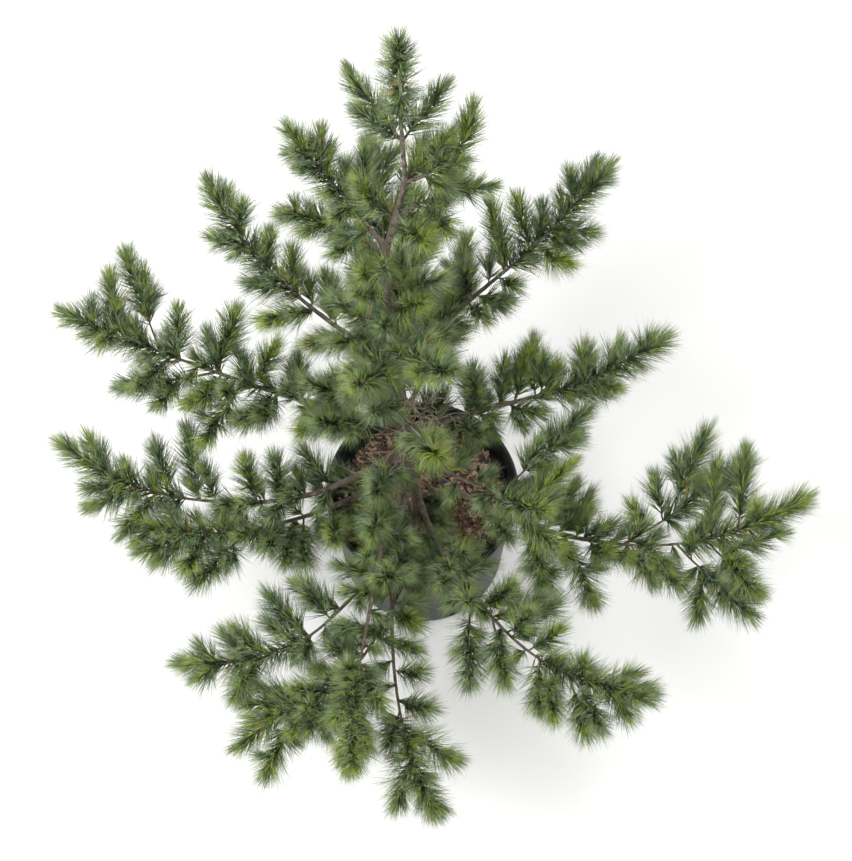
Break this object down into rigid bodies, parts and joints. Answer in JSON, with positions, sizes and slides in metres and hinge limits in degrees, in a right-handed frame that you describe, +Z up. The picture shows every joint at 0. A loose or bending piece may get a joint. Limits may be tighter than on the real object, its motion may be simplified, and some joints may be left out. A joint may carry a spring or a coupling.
{
  "type": "young potted pine tree",
  "caption": "Young long-needled pine standing in a round black nursery pot, with an open whorled crown of upturned boughs and bark-covered potting mix.",
  "frame": {"origin": "middle of the pot's flat underside, on the level it stands on", "axes": "+Z up, +X to the right and -Y to the front, which is the side with the most low boughs"},
  "size_m": [1.5905, 1.3307, 2.243],
  "materials": {
    "bark": "matte",
    "foliage": "matte",
    "pot": "satin",
    "potting_mix": "matte"
  },
  "bodies": {
    "root": {"pot": "pot", "potting_mix": "potting_mix", "trunk": "bark", "low_right_bough": "bark", "low_right_short_bough": "bark", "mid_right_bough": "bark", "high_right_bough": "bark", "low_front_right_bough": "bark", "low_front_bough": "bark", "low_front_middle_bough": "bark", "low_front_left_bough": "bark", "low_left_front_bough": "bark", "low_left_bough": "bark", "low_left_back_bough": "bark", "mid_left_bough": "bark", "high_left_bough": "bark", "mid_back_bough": "bark", "high_back_bough": "bark", "front_short_bough": "bark", "top_left_bough": "bark", "top_left_low_bough": "bark", "top_right_bough": "bark", "crown_right_bough": "bark", "low_right_foliage": "foliage", "low_right_spray_1": "foliage", "low_right_spray_2": "foliage", "low_right_short_foliage": "foliage", "low_right_short_spray_1": "foliage", "mid_right_foliage": "foliage", "high_right_foliage": "foliage", "low_front_right_foliage": "foliage", "low_front_foliage": "foliage", "low_front_middle_foliage": "foliage", "low_front_left_foliage": "foliage", "low_left_front_foliage": "foliage", "low_left_foliage": "foliage", "low_left_spray_1": "foliage", "low_left_back_foliage": "foliage", "mid_left_foliage": "foliage", "mid_left_spray_1": "foliage", "mid_left_spray_2": "foliage", "high_left_foliage": "foliage", "mid_back_foliage": "foliage", "high_back_foliage": "foliage", "front_short_foliage": "foliage", "top_left_foliage": "foliage", "top_left_low_foliage": "foliage", "top_right_foliage": "foliage", "crown_right_foliage": "foliage", "leader_tuft": "foliage", "upper_tuft": "foliage", "middle_tuft": "foliage", "inner_left_tuft": "foliage", "inner_right_tuft": "foliage", "inner_front_tuft": "foliage", "left_tuft": "foliage", "front_right_tuft": "foliage", "front_left_tuft": "foliage", "leader_foliage": "foliage"}
  },
  "joints": []
}
